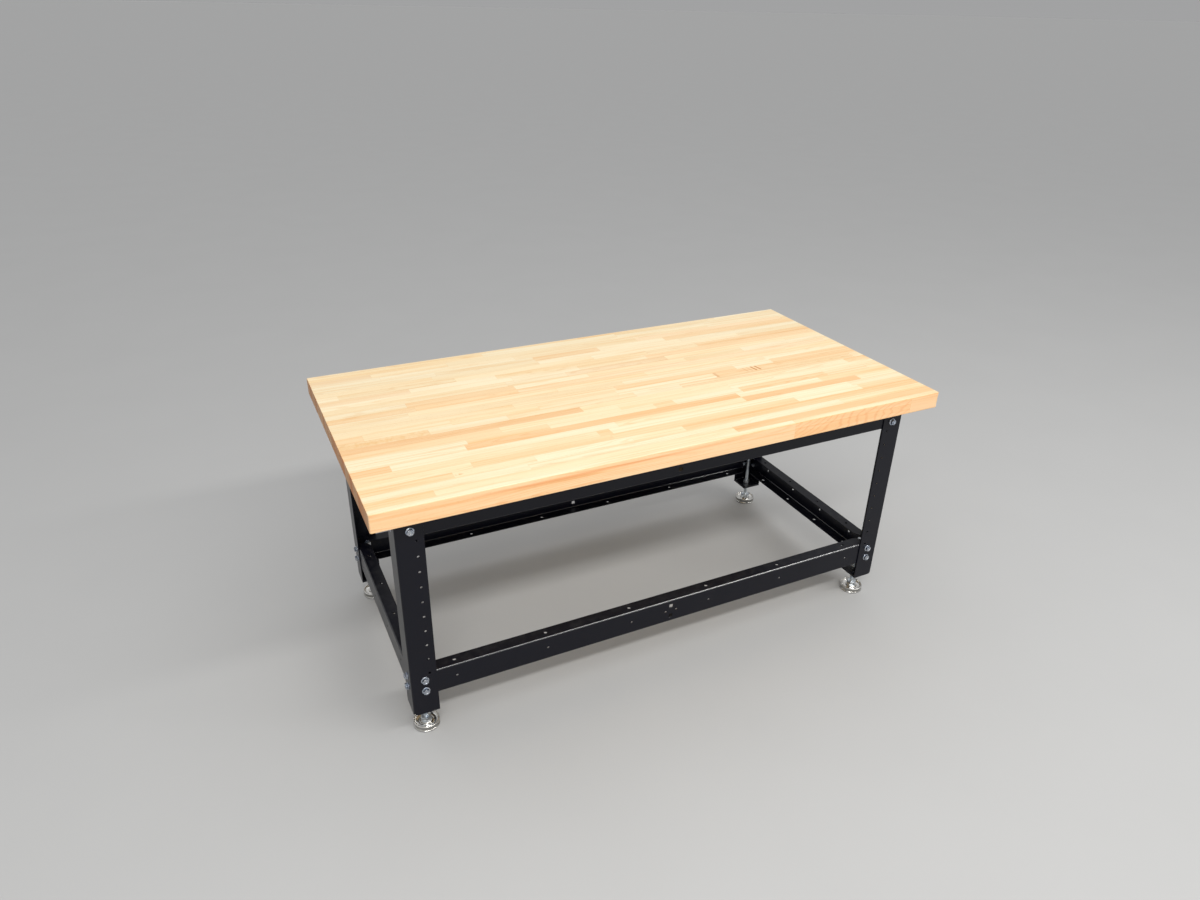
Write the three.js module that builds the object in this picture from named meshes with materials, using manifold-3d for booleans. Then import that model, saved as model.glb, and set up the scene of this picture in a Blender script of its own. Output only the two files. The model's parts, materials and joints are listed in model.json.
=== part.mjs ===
// Assembly table: a thick maple top on a bolted frame of black formed-steel legs and rails, standing on four
// screw-adjusted levelling feet. Millimetres, +Z up, origin on the floor under the middle of the top.
// +X runs along the length, and the long side at -Y is the front.
import * as THREE from "three";
import { mergeVertices } from "three/addons/utils/BufferGeometryUtils.js";
import Module from "manifold-3d";

const wasm = await Module();
wasm.setup();

// Work top
const TOP_LENGTH = 1524;
const TOP_DEPTH = 762;
const TOP_THICKNESS = 44.45;
const TOP_HEIGHT = 681; // working surface above the floor
const TOP_CORNER_RADIUS = 2; // upright corners, before their edges are eased
const TOP_EDGE_EASE = 2; // sanded round on the long and short edges
const TOP_OVERHANG = 57.15; // top past the legs, all round

// Legs: formed angles
const LEG_FLANGE = 63.5;
const LEG_GAUGE = 2.66;
const LEG_BEND_INSIDE = 2.64; // inside radius of the bend
const LEG_CLEARANCE = 66; // floor to the bottom of the leg
const LEG_NOTCH = 8; // corner cut away at the bottom of the bend
const ACCESSORY_HOLE = 6; // row of holes up the flange on the long side
const ACCESSORY_HOLE_INSET = 46.7; // from the outer corner
const ACCESSORY_HOLE_FIRST = 120.6; // above the bottom of the leg
const ACCESSORY_HOLE_PITCH = 41.275;
const ACCESSORY_HOLE_MARGIN = 5; // least distance from the last hole to the upper rail

// Foot plates, welded into the legs
const PLATE_THICKNESS = 6.35;
const PLATE_CORNER_GAP = 5; // plate's cut corner past the leg's bend
const WELD_BITE = 1.3; // how far the plate's edge runs into the flange
const FOOT_INSET = 35; // foot axis from the leg's outer faces

// Rails: formed channels, open inwards
const RAIL_HEIGHT = 69.85;
const RAIL_DEPTH = 34.9;
const RAIL_GAUGE = 2.66;
const RAIL_BEND_INSIDE = 1.54; // inside radius of the bends
const RAIL_END_GAP = 12.2; // end of the web to the inner face of the leg
const RAIL_FLANGE_SETBACK = 22; // flanges stop short of the web's end
const RAIL_FLANGE_ROUND = 30; // round corner on the end of each flange
const LOWER_RAIL_CLEARANCE = 117; // floor to the lower rails
const RAIL_HOLE = 8.7; // in the flanges
const RAIL_HOLE_DEPTH = 19; // flange hole from the outer face of the web
const RAIL_HOLE_INSET = 98; // first hole from the end of the web
const LONG_RAIL_HOLES = 6;
const SHORT_RAIL_HOLES = 4;
const WEB_HOLE = 6.4; // along the middle of the web
const CROSS_HOLE = 11; // square holes for a middle cross rail
const CROSS_PILOT_SPACING = 32.5; // round holes beside them

// Bolts that hold the rails to the legs
const BOLT_DIAMETER = 9.525;
const BOLT_HOLE = 10.9;
const BOLT_INSET = 34; // from the leg's outer corner
const BOLT_SPACING = 31.75; // between the two bolts of a rail's end
const BOLT_FLANGE_DIAMETER = 20;
const BOLT_FLANGE_THICKNESS = 2;
const BOLT_HEX = 14.3; // across flats, head and nut
const BOLT_HEAD_HEIGHT = 7.5;
const BOLT_NUT_HEIGHT = 8.4;

// Levelling feet
const STEM_DIAMETER = 12.7;
const STEM_LENGTH = 155; // stud above its hex
const STEM_TIP_CHAMFER = 1.5;
const STEM_HEX = 24; // across flats
const STEM_HEX_HEIGHT = 13;
const STEM_SPIGOT_DIAMETER = 16; // turns in the pad's socket
const JAM_NUT_WALL = 3.075; // at the middle of a flat
const JAM_NUT_HEIGHT = 11.1;
const PAD_DIAMETER = 65.8;
const PAD_HEIGHT = 16.5;
const PAD_TIER_HEIGHT = 4; // lower flange of the pad
const PAD_WAIST_INSET = 1.8; // groove between the flange and the rim
const PAD_RIM_WIDTH = 3.4;
const PAD_DISH_DEPTH = 6; // floor of the dish below the rim
const PAD_HUB_WALL = 6.5; // round the socket
const PAD_HUB_DROP = 2.5; // hub's top below the rim
const PAD_SOCKET_FLOOR = 6; // metal under the socket
const PAD_SLOPE = 1.6; // draft of the stamped steps

// Clearances
const PAINT_GAP = 0.15; // powder coat between clamped pieces
const THREAD_GAP = 0.1; // round the stem in its nut and plate
const SOCKET_GAP = 0.1; // round the spigot, under it and under the hex
const CUT_OVERRUN = 2; // how far a cutting tool runs past the sheet

// Facets
const BEND_STEPS = 1; // curve segments given to a bend
const EASE_STEPS = 2;
const FLANGE_ROUND_STEPS = 2;
const FLANGE_HOLE_SIDES = 8;
const SMALL_HOLE_SIDES = 6;
const SHANK_SIDES = 6; // bolts and their holes
const BOLT_FLANGE_SIDES = 8;
const STEM_SIDES = 12;
const PAD_SIDES = 18;

// Sizes that follow from these
const FRAME_LENGTH = TOP_LENGTH - 2 * TOP_OVERHANG;
const FRAME_DEPTH = TOP_DEPTH - 2 * TOP_OVERHANG;
const UNDERSIDE = TOP_HEIGHT - TOP_THICKNESS;
const LEG_LENGTH = UNDERSIDE - PAINT_GAP - LEG_CLEARANCE;
const UPPER_RAIL_CLEARANCE = UNDERSIDE - PAINT_GAP - RAIL_HEIGHT;
const WEB_OFFSET = LEG_GAUGE + PAINT_GAP; // outer face of the leg to the outer face of the web
const LEG_BEND = LEG_BEND_INSIDE + LEG_GAUGE; // outside radius
const RAIL_BEND = RAIL_BEND_INSIDE + RAIL_GAUGE;
const STEM_BORE = STEM_DIAMETER + 2 * THREAD_GAP;
const JAM_NUT_HEX = STEM_BORE + 2 * JAM_NUT_WALL; // across flats
const PAD_HUB_TOP = PAD_HEIGHT - PAD_HUB_DROP;
const STEM_HEX_BOTTOM = PAD_HUB_TOP + SOCKET_GAP;
const STEM_SPIGOT_LENGTH = PAD_HUB_TOP - PAD_SOCKET_FLOOR;

const BLACK_POWDER_COAT = { color: 0x1c1d21, roughness: 0.45, metalness: 0.2 };
const MAPLE = { color: 0xe2bc8c, roughness: 0.5, metalness: 0 };
const ZINC = { color: 0xb4bcc4, roughness: 0.35, metalness: 0.9 };
const NICKEL = { color: 0xcdc6b4, roughness: 0.25, metalness: 1 };

const LEVELS = [
  { name: "lower", bottom: LOWER_RAIL_CLEARANCE },
  { name: "upper", bottom: UPPER_RAIL_CLEARANCE },
];

// A leg's turn takes its flanges from the front left corner to its own; rowAxis crosses its long-side flange
const CORNERS = [
  { name: "front_left", x: -1, y: -1, turn: 0, rowAxis: "y" },
  { name: "front_right", x: 1, y: -1, turn: Math.PI / 2, rowAxis: "x" },
  { name: "rear_right", x: 1, y: 1, turn: Math.PI, rowAxis: "y" },
  { name: "rear_left", x: -1, y: 1, turn: -Math.PI / 2, rowAxis: "x" },
];

// Each side's rail is drawn as a front rail and turned; its ends are named as that turn leaves them
const LONG_SIDE = { frame: FRAME_LENGTH, across: FRAME_DEPTH, holes: LONG_RAIL_HOLES, crossHoles: true };
const SHORT_SIDE = { frame: FRAME_DEPTH, across: FRAME_LENGTH, holes: SHORT_RAIL_HOLES, crossHoles: false };
const SIDES = [
  { name: "front", turn: 0, ends: ["left", "right"], ...LONG_SIDE },
  { name: "right", turn: Math.PI / 2, ends: ["front", "rear"], ...SHORT_SIDE },
  { name: "rear", turn: Math.PI, ends: ["right", "left"], ...LONG_SIDE },
  { name: "left", turn: -Math.PI / 2, ends: ["rear", "front"], ...SHORT_SIDE },
];

// A closed geometry as a solid that can be joined and cut
function solidFrom(geometry) {
  const bare = geometry.clone();
  bare.deleteAttribute("normal");
  bare.deleteAttribute("uv");
  const merged = mergeVertices(bare, 1e-4);
  const vertProperties = merged.getAttribute("position").array;
  const triVerts = new Uint32Array(merged.index.array);
  return new wasm.Manifold(new wasm.Mesh({ numProp: 3, vertProperties, triVerts }));
}

// A joined or cut solid as a geometry
function geometryFrom(solid) {
  const made = solid.getMesh();
  const geometry = new THREE.BufferGeometry();
  geometry.setAttribute("position", new THREE.BufferAttribute(made.vertProperties.slice(), 3));
  geometry.setIndex(new THREE.BufferAttribute(made.triVerts.slice(), 1));
  geometry.computeVertexNormals();
  return geometry;
}

function cut(body, tools) {
  return tools.reduce((left, tool) => left.subtract(solidFrom(tool)), body);
}

function join(geometries) {
  return geometries.map(solidFrom).reduce((body, added) => body.add(added));
}

// A rod along a world axis, centred on a point; a cylinder starts out along Y
function rod(axis, diameter, length, sides, x, y, z) {
  const geometry = new THREE.CylinderGeometry(diameter / 2, diameter / 2, length, sides);
  if (axis === "x") geometry.rotateZ(Math.PI / 2);
  if (axis === "z") geometry.rotateX(Math.PI / 2);
  return geometry.translate(x, y, z);
}

// Regular outline with its corners on a circle, the first one turned this far from +X
function polygon(diameter, sides, turn = 0) {
  const corners = Array.from({ length: sides }, (_, i) => {
    const angle = turn + (i * 2 * Math.PI) / sides;
    return new THREE.Vector2(Math.cos(angle), Math.sin(angle)).multiplyScalar(diameter / 2);
  });
  return new THREE.Shape(corners);
}

// Six-sided outline with flats this far apart
function hexOutline(acrossFlats) {
  return polygon(acrossFlats / Math.cos(Math.PI / 6), 6);
}

function prism(outline, height, curveSegments = 1) {
  return new THREE.ExtrudeGeometry(outline, { depth: height, bevelEnabled: false, curveSegments });
}

// A turned piece, from [radius, height] pairs that run from the axis, round the outside and back to the axis
function turned(profile, sides) {
  const points = profile.map(([radius, height]) => new THREE.Vector2(radius, height));
  return new THREE.LatheGeometry(points, sides).rotateX(Math.PI / 2);
}

function piece(name, geometry, finish) {
  const mesh = new THREE.Mesh(geometry, new THREE.MeshStandardMaterial(finish));
  mesh.name = name;
  return mesh;
}

// This many places evenly spaced over a span that is centred on zero
function evenlyAlong(span, count) {
  return Array.from({ length: count }, (_, i) => span * (i / (count - 1) - 0.5));
}

// The glued slab, with every edge sanded round
function tableTop() {
  const halfLength = TOP_LENGTH / 2 - TOP_EDGE_EASE;
  const halfDepth = TOP_DEPTH / 2 - TOP_EDGE_EASE;
  const round = TOP_CORNER_RADIUS;
  const outline = new THREE.Shape();
  outline.moveTo(-halfLength + round, -halfDepth);
  outline.lineTo(halfLength - round, -halfDepth);
  outline.absarc(halfLength - round, -halfDepth + round, round, -Math.PI / 2, 0);
  outline.lineTo(halfLength, halfDepth - round);
  outline.absarc(halfLength - round, halfDepth - round, round, 0, Math.PI / 2);
  outline.lineTo(-halfLength + round, halfDepth);
  outline.absarc(-halfLength + round, halfDepth - round, round, Math.PI / 2, Math.PI);
  outline.lineTo(-halfLength, -halfDepth + round);
  outline.absarc(-halfLength + round, -halfDepth + round, round, Math.PI, 1.5 * Math.PI);
  const slab = new THREE.ExtrudeGeometry(outline, {
    depth: TOP_THICKNESS - 2 * TOP_EDGE_EASE,
    bevelThickness: TOP_EDGE_EASE,
    bevelSize: TOP_EDGE_EASE,
    bevelSegments: EASE_STEPS,
    curveSegments: BEND_STEPS,
  });
  return geometryFrom(solidFrom(slab.translate(0, 0, UNDERSIDE + TOP_EDGE_EASE)));
}

// Plan of the formed angle, its outer corner at the origin and its flanges along +X and +Y
function legOutline() {
  const r = LEG_BEND;
  const outline = new THREE.Shape();
  outline.moveTo(r, 0);
  outline.lineTo(LEG_FLANGE, 0);
  outline.lineTo(LEG_FLANGE, LEG_GAUGE);
  outline.lineTo(r, LEG_GAUGE);
  outline.absarc(r, r, LEG_BEND_INSIDE, 1.5 * Math.PI, Math.PI, true);
  outline.lineTo(LEG_GAUGE, LEG_FLANGE);
  outline.lineTo(0, LEG_FLANGE);
  outline.lineTo(0, r);
  outline.absarc(r, r, r, Math.PI, 1.5 * Math.PI);
  return outline;
}

// Square plate welded between the flanges, drilled for the foot's stem
function footPlate() {
  const near = LEG_GAUGE - WELD_BITE;
  const corner = LEG_BEND + PLATE_CORNER_GAP;
  const outline = new THREE.Shape();
  outline.moveTo(corner, near);
  outline.lineTo(LEG_FLANGE, near);
  outline.lineTo(LEG_FLANGE, LEG_FLANGE);
  outline.lineTo(near, LEG_FLANGE);
  outline.lineTo(near, corner);
  outline.closePath();
  const reach = 2 * (PLATE_THICKNESS + CUT_OVERRUN);
  return cut(solidFrom(prism(outline, PLATE_THICKNESS)), [stemDrill(reach, FOOT_INSET, FOOT_INSET)]);
}

// Block whose slanted face cuts the corner off the bottom of the bend, as far along each of the three edges
function bendNotch() {
  const reach = 4 * LEG_NOTCH;
  const upwards = new THREE.Vector3(0, 0, 1);
  const inwards = new THREE.Vector3(1, 1, 1).normalize();
  const slant = new THREE.Quaternion().setFromUnitVectors(upwards, inwards);
  const block = new THREE.BoxGeometry(reach, reach, reach).translate(0, 0, -reach / 2);
  return block.applyQuaternion(slant).translate(LEG_NOTCH / 3, LEG_NOTCH / 3, LEG_NOTCH / 3);
}

// One leg: formed angle, welded foot plate, bolt holes, and accessory holes up the flange on the long side
function leg(rowAxis) {
  const through = 2 * (LEG_GAUGE + CUT_OVERRUN);
  const hole = (axis, diameter, sides, inset, height) =>
    axis === "y"
      ? rod(axis, diameter, through, sides, inset, 0, height)
      : rod(axis, diameter, through, sides, 0, inset, height);
  const tools = [bendNotch()];
  const highest = UPPER_RAIL_CLEARANCE - LEG_CLEARANCE - ACCESSORY_HOLE_MARGIN;
  for (let height = ACCESSORY_HOLE_FIRST; height <= highest; height += ACCESSORY_HOLE_PITCH) {
    tools.push(hole(rowAxis, ACCESSORY_HOLE, SMALL_HOLE_SIDES, ACCESSORY_HOLE_INSET, height));
  }
  for (const level of LEVELS) {
    for (const height of boltHeights()) {
      for (const axis of ["x", "y"]) {
        tools.push(hole(axis, BOLT_HOLE, SHANK_SIDES, BOLT_INSET, level.bottom + height - LEG_CLEARANCE));
      }
    }
  }
  const angle = solidFrom(prism(legOutline(), LEG_LENGTH, BEND_STEPS));
  return geometryFrom(cut(angle.add(footPlate()), tools));
}

// Heights of a rail end's two bolts above the bottom of the rail
function boltHeights() {
  return [-0.5, 0.5].map((share) => RAIL_HEIGHT / 2 + share * BOLT_SPACING);
}

// Section of the channel: web on the vertical axis, flanges running away from it
function railOutline() {
  const r = RAIL_BEND;
  const inside = RAIL_BEND_INSIDE;
  const top = RAIL_HEIGHT - r;
  const outline = new THREE.Shape();
  outline.moveTo(RAIL_DEPTH, 0);
  outline.lineTo(RAIL_DEPTH, RAIL_GAUGE);
  outline.lineTo(r, RAIL_GAUGE);
  outline.absarc(r, r, inside, 1.5 * Math.PI, Math.PI, true);
  outline.lineTo(RAIL_GAUGE, top);
  outline.absarc(r, top, inside, Math.PI, 0.5 * Math.PI, true);
  outline.lineTo(RAIL_DEPTH, RAIL_HEIGHT - RAIL_GAUGE);
  outline.lineTo(RAIL_DEPTH, RAIL_HEIGHT);
  outline.lineTo(r, RAIL_HEIGHT);
  outline.absarc(r, top, r, 0.5 * Math.PI, Math.PI);
  outline.lineTo(0, r);
  outline.absarc(r, r, r, Math.PI, 1.5 * Math.PI);
  return outline;
}

// What both flanges lose at one end (-1 or 1), in plan: a setback and a large round corner
function flangeEndCut(length, end) {
  const stop = length / 2 - RAIL_FLANGE_SETBACK;
  const past = length / 2 + CUT_OVERRUN;
  const edge = RAIL_DEPTH + CUT_OVERRUN;
  const round = Math.min(RAIL_FLANGE_ROUND, RAIL_DEPTH - RAIL_BEND);
  const outline = new THREE.Shape();
  outline.moveTo(end * stop, RAIL_GAUGE);
  outline.lineTo(end * past, RAIL_GAUGE);
  outline.lineTo(end * past, edge);
  outline.lineTo(end * (stop - round), edge);
  outline.lineTo(end * (stop - round), RAIL_DEPTH);
  const finish = end > 0 ? 0 : Math.PI;
  outline.absarc(end * (stop - round), RAIL_DEPTH - round, round, Math.PI / 2, finish, end > 0);
  outline.closePath();
  return prism(outline, RAIL_HEIGHT + 2 * CUT_OVERRUN, FLANGE_ROUND_STEPS).translate(0, 0, -CUT_OVERRUN);
}

// One rail as it lies at the front: centred along X, standing on z = 0, web facing -Y
function rail(side) {
  const length = side.frame - 2 * (LEG_GAUGE + RAIL_END_GAP);
  const middle = RAIL_HEIGHT / 2;
  const webReach = 2 * (RAIL_GAUGE + CUT_OVERRUN);
  const flangeReach = RAIL_HEIGHT + 2 * CUT_OVERRUN;
  const tools = [-1, 1].map((end) => flangeEndCut(length, end));
  for (const x of evenlyAlong(length - 2 * RAIL_HOLE_INSET, side.holes)) {
    tools.push(rod("z", RAIL_HOLE, flangeReach, FLANGE_HOLE_SIDES, x, RAIL_HOLE_DEPTH, middle));
    tools.push(rod("y", WEB_HOLE, webReach, SMALL_HOLE_SIDES, x, 0, middle));
  }
  for (const height of boltHeights()) {
    for (const x of boltPlaces(side)) tools.push(rod("y", BOLT_HOLE, webReach, SHANK_SIDES, x, 0, height));
  }
  if (side.crossHoles) {
    for (const height of boltHeights()) {
      tools.push(new THREE.BoxGeometry(CROSS_HOLE, webReach, CROSS_HOLE).translate(0, 0, height));
    }
    for (const x of evenlyAlong(CROSS_PILOT_SPACING, 2)) {
      tools.push(rod("y", WEB_HOLE, webReach, SMALL_HOLE_SIDES, x, 0, middle));
    }
  }
  // The section is drawn in X and Y and pulled along Z, so X becomes Y, Y becomes Z and Z becomes X
  const lie = new THREE.Matrix4().makeBasis(
    new THREE.Vector3(0, 1, 0),
    new THREE.Vector3(0, 0, 1),
    new THREE.Vector3(1, 0, 0),
  );
  const channel = prism(railOutline(), length, BEND_STEPS).translate(0, 0, -length / 2).applyMatrix4(lie);
  return geometryFrom(cut(solidFrom(channel), tools));
}

// Places of a rail's bolts along it, at its first and second end
function boltPlaces(side) {
  return [-1, 1].map((end) => end * (side.frame / 2 - BOLT_INSET));
}

// Flange bolt drawn up with its nut, pointing along +Y from its bearing face
function bolt() {
  // There is a coat of paint under the head, between the sheets and under the nut
  const grip = LEG_GAUGE + RAIL_GAUGE + 3 * PAINT_GAP;
  const hex = hexOutline(BOLT_HEX);
  const round = polygon(BOLT_FLANGE_DIAMETER, BOLT_FLANGE_SIDES, Math.PI / BOLT_FLANGE_SIDES);
  const thread = polygon(BOLT_DIAMETER, SHANK_SIDES, Math.PI / SHANK_SIDES);
  const seat = -BOLT_FLANGE_THICKNESS / 2;
  const head = prism(hex, BOLT_HEAD_HEIGHT + seat).translate(0, 0, -BOLT_HEAD_HEIGHT);
  const flange = prism(round, BOLT_FLANGE_THICKNESS).translate(0, 0, -BOLT_FLANGE_THICKNESS);
  const shank = prism(thread, grip + BOLT_NUT_HEIGHT / 2 - seat).translate(0, 0, seat);
  const nut = prism(hex, BOLT_NUT_HEIGHT).translate(0, 0, grip);
  return geometryFrom(join([head, flange, shank, nut])).rotateX(-Math.PI / 2);
}

// Drill for the stem, its flats a bore's width apart
function stemDrill(reach, x, y) {
  return rod("z", STEM_BORE / Math.cos(Math.PI / STEM_SIDES), reach, STEM_SIDES, x, y, 0);
}

// Hex nut that locks the stem, standing on z = 0
function jamNut() {
  const reach = 2 * (JAM_NUT_HEIGHT + CUT_OVERRUN);
  const blank = solidFrom(prism(hexOutline(JAM_NUT_HEX), JAM_NUT_HEIGHT));
  return geometryFrom(cut(blank, [stemDrill(reach, 0, 0)]));
}

// Threaded stud with a spanner hex and a spigot below it, its hex standing on z = 0
function stem() {
  const radius = STEM_DIAMETER / 2;
  const tip = STEM_HEX_HEIGHT + STEM_LENGTH;
  const stud = turned(
    [
      [0, -STEM_SPIGOT_LENGTH],
      [STEM_SPIGOT_DIAMETER / 2, -STEM_SPIGOT_LENGTH],
      [STEM_SPIGOT_DIAMETER / 2, STEM_HEX_HEIGHT / 2],
      [radius, STEM_HEX_HEIGHT / 2],
      [radius, tip - STEM_TIP_CHAMFER],
      [radius - STEM_TIP_CHAMFER, tip],
      [0, tip],
    ],
    STEM_SIDES,
  );
  return geometryFrom(join([stud, prism(hexOutline(STEM_HEX), STEM_HEX_HEIGHT)]));
}

// Stamped dish with a rim, a waist and a hub whose socket takes the spigot, standing on z = 0
function pad() {
  const outer = PAD_DIAMETER / 2;
  const waist = outer - PAD_WAIST_INSET;
  const rimInside = outer - PAD_RIM_WIDTH;
  const dishFloor = PAD_HEIGHT - PAD_DISH_DEPTH;
  const socket = (STEM_SPIGOT_DIAMETER / 2 + SOCKET_GAP) / Math.cos(Math.PI / PAD_SIDES);
  const hub = socket + PAD_HUB_WALL;
  const profile = [
    [0, 0],
    [outer, 0],
    [outer, PAD_TIER_HEIGHT],
    [waist, PAD_TIER_HEIGHT + PAD_SLOPE],
    [outer - PAD_SLOPE / 2, dishFloor],
    [outer - PAD_SLOPE / 2, PAD_HEIGHT],
    [rimInside, PAD_HEIGHT],
    [rimInside - PAD_SLOPE, dishFloor],
    [hub + PAD_SLOPE, dishFloor],
    [hub, PAD_HUB_TOP],
    [socket, PAD_HUB_TOP],
    [socket, PAD_SOCKET_FLOOR],
    [0, PAD_SOCKET_FLOOR],
  ];
  return geometryFrom(solidFrom(turned(profile, PAD_SIDES)));
}

function placed(mesh, x, y, z, turn = 0) {
  mesh.position.set(x, y, z);
  mesh.rotation.z = turn;
  return mesh;
}

const table = new THREE.Group();
table.add(piece("table_top", tableTop(), MAPLE));

const legShapes = { y: leg("y"), x: leg("x") };
const jamNutShape = jamNut();
const stemShape = stem();
const padShape = pad();
for (const corner of CORNERS) {
  const legX = (corner.x * FRAME_LENGTH) / 2;
  const legY = (corner.y * FRAME_DEPTH) / 2;
  const formedLeg = piece(`leg_${corner.name}`, legShapes[corner.rowAxis], BLACK_POWDER_COAT);
  table.add(placed(formedLeg, legX, legY, LEG_CLEARANCE, corner.turn));
  const footX = legX - corner.x * FOOT_INSET;
  const footY = legY - corner.y * FOOT_INSET;
  const nutBottom = LEG_CLEARANCE + PLATE_THICKNESS + PAINT_GAP;
  table.add(placed(piece(`jam_nut_${corner.name}`, jamNutShape, ZINC), footX, footY, nutBottom));
  table.add(placed(piece(`stem_${corner.name}`, stemShape, ZINC), footX, footY, STEM_HEX_BOTTOM));
  table.add(placed(piece(`pad_${corner.name}`, padShape, NICKEL), footX, footY, 0));
}

const boltShape = bolt();
for (const side of SIDES) {
  const run = new THREE.Group();
  run.rotation.z = side.turn;
  const webFace = WEB_OFFSET - side.across / 2;
  const bearingFace = webFace - LEG_GAUGE - 2 * PAINT_GAP;
  const railShape = rail(side);
  for (const level of LEVELS) {
    const name = `${level.name}_${side.name}`;
    const channel = piece(`${level.name}_rail_${side.name}`, railShape, BLACK_POWDER_COAT);
    run.add(placed(channel, 0, webFace, level.bottom));
    boltPlaces(side).forEach((x, end) => {
      boltHeights().forEach((height, i) => {
        const fastener = piece(`bolt_${name}_${side.ends[end]}_${i + 1}`, boltShape, ZINC);
        run.add(placed(fastener, x, bearingFace, level.bottom + height));
      });
    });
  }
  table.add(run);
}

export default table;
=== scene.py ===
# %% [markdown]
# An assembly table, dressed in Blender
#
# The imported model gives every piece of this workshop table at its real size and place, in metres,
# with the floor at zero and +Z up. Its solids are plain: few facets, no threads, no grain. In this
# lesson each piece is modelled again by hand methods, in the same place, and given a finish. The
# plain solid is then hidden, and the new piece moves with the body that the solid belongs to.

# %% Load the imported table
import json
import math
import random

import bmesh
import bpy
from mathutils import Matrix, Vector


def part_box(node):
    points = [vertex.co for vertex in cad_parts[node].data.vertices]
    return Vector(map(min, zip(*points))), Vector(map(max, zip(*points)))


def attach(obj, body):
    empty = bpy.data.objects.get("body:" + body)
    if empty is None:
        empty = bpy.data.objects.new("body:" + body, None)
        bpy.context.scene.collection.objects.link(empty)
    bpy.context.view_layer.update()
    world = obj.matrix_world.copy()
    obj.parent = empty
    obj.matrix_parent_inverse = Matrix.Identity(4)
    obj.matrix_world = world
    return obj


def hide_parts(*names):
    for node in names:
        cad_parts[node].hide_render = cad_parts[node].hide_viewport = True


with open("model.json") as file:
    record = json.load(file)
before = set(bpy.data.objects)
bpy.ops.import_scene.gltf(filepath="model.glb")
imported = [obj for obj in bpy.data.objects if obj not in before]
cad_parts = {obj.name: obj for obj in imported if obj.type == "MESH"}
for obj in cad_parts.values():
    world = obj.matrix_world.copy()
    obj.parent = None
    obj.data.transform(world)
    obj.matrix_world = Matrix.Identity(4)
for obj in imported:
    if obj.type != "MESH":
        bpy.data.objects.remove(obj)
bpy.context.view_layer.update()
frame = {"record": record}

# %% [markdown]
# A bench of small helpers
#
# An operator works on whatever is selected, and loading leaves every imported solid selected. So each
# step starts by clearing the selection. Faces and edges are then picked in code, by where they are
# or which way they face, as you would click on them by hand.

# %% Select and open
MM = 0.001
TOUCHING = 1e-6
X, Y, Z = 0, 1, 2


def mm(*lengths):
    """Millimetres as a place or size in metres."""
    return tuple(length * MM for length in lengths)


def close_mesh():
    """Leaves edit mode."""
    bpy.ops.object.mode_set(mode="OBJECT")


def select_only(*pieces):
    """Leaves edit mode and selects these pieces; the first one is active."""
    if bpy.context.object and bpy.context.object.mode == "EDIT":
        close_mesh()
    bpy.ops.object.select_all(action="DESELECT")
    for piece in pieces:
        piece.select_set(True)
    if pieces:
        bpy.context.view_layer.objects.active = pieces[0]


def open_mesh(piece):
    """Opens one piece in edit mode."""
    select_only(piece)
    bpy.ops.object.mode_set(mode="EDIT")


def pick_all():
    """Selects all of the open piece."""
    bpy.ops.mesh.select_all(action="SELECT")


def pick(kind, test):
    """Selects the verts, edges or faces of the open piece that pass a test."""
    bpy.ops.mesh.select_mode(type={"verts": "VERT", "edges": "EDGE", "faces": "FACE"}[kind])
    bpy.ops.mesh.select_all(action="DESELECT")
    mesh = bmesh.from_edit_mesh(bpy.context.object.data)
    for part in [part for part in getattr(mesh, kind) if test(part)]:
        part.select_set(True)
    mesh.select_flush_mode()
    bmesh.update_edit_mesh(bpy.context.object.data)


def on_plane(edge, axis, value):
    """Whether an edge lies in the plane where this axis has this value in millimetres."""
    return all(abs(vert.co[axis] - value * MM) < TOUCHING for vert in edge.verts)


print("ready to select")

# %% Add blocks, rods and sheets
ALONG = {"x": (0, math.pi / 2, 0), "y": (math.pi / 2, 0, 0), "z": (0, 0, 0)}


def start(name, primitive, scale=(1, 1, 1), **settings):
    """Adds a primitive at its size and place and puts that place into its mesh."""
    select_only()
    primitive(**settings)
    piece = bpy.context.object
    piece.scale = scale
    piece.name = name
    piece.data.name = name
    bpy.ops.object.transform_apply(location=True, rotation=True, scale=True)
    return piece


def block(name, middle, size, **settings):
    """Adds a block by its middle and its size in millimetres."""
    return start(name, bpy.ops.mesh.primitive_cube_add, size=1, location=mm(*middle),
                 scale=mm(*size), **settings)


def rod(name, middle, diameter, axis, length, sides):
    """Adds a rod along an axis by its middle and its size in millimetres."""
    return start(name, bpy.ops.mesh.primitive_cylinder_add, vertices=sides, depth=length * MM,
                 radius=diameter / 2 * MM, location=mm(*middle), rotation=ALONG[axis])


def sheet(name, middle, width, height):
    """Adds an upright sheet across Y by its middle and its size in millimetres."""
    return start(name, bpy.ops.mesh.primitive_plane_add, size=1, location=mm(*middle),
                 rotation=ALONG["y"], scale=mm(width, height, 1))


print("ready to add along", ", ".join(ALONG))

# %% [markdown]
# Shaping and handing over
#
# Bevels, cuts and wall thickness come from modifiers, which are applied at once so that the next
# step finds a plain mesh. A cut uses up its tools. A part that is found many times on the table is
# modelled once and copied, and each copy keeps a mesh of its own, with its place in that mesh. A
# copy then takes the stead of its imported solid: it hides the solid and rides on the solid's body.

# %% Modify, join and cut
SHARP = 35


def modify(piece, kind, **settings):
    """Adds a modifier to a piece and applies it."""
    select_only(piece)
    modifier = piece.modifiers.new(kind.title(), kind)
    for name, value in settings.items():
        setattr(modifier, name, value)
    bpy.ops.object.modifier_apply(modifier=modifier.name)


def joined(name, pieces):
    """Several pieces as one object."""
    select_only(*pieces)
    bpy.ops.object.join()
    pieces[0].name = name
    pieces[0].data.name = name
    return pieces[0]


def discard(*pieces):
    """Removes pieces that have done their work."""
    for piece in pieces:
        bpy.data.meshes.remove(piece.data)


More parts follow.
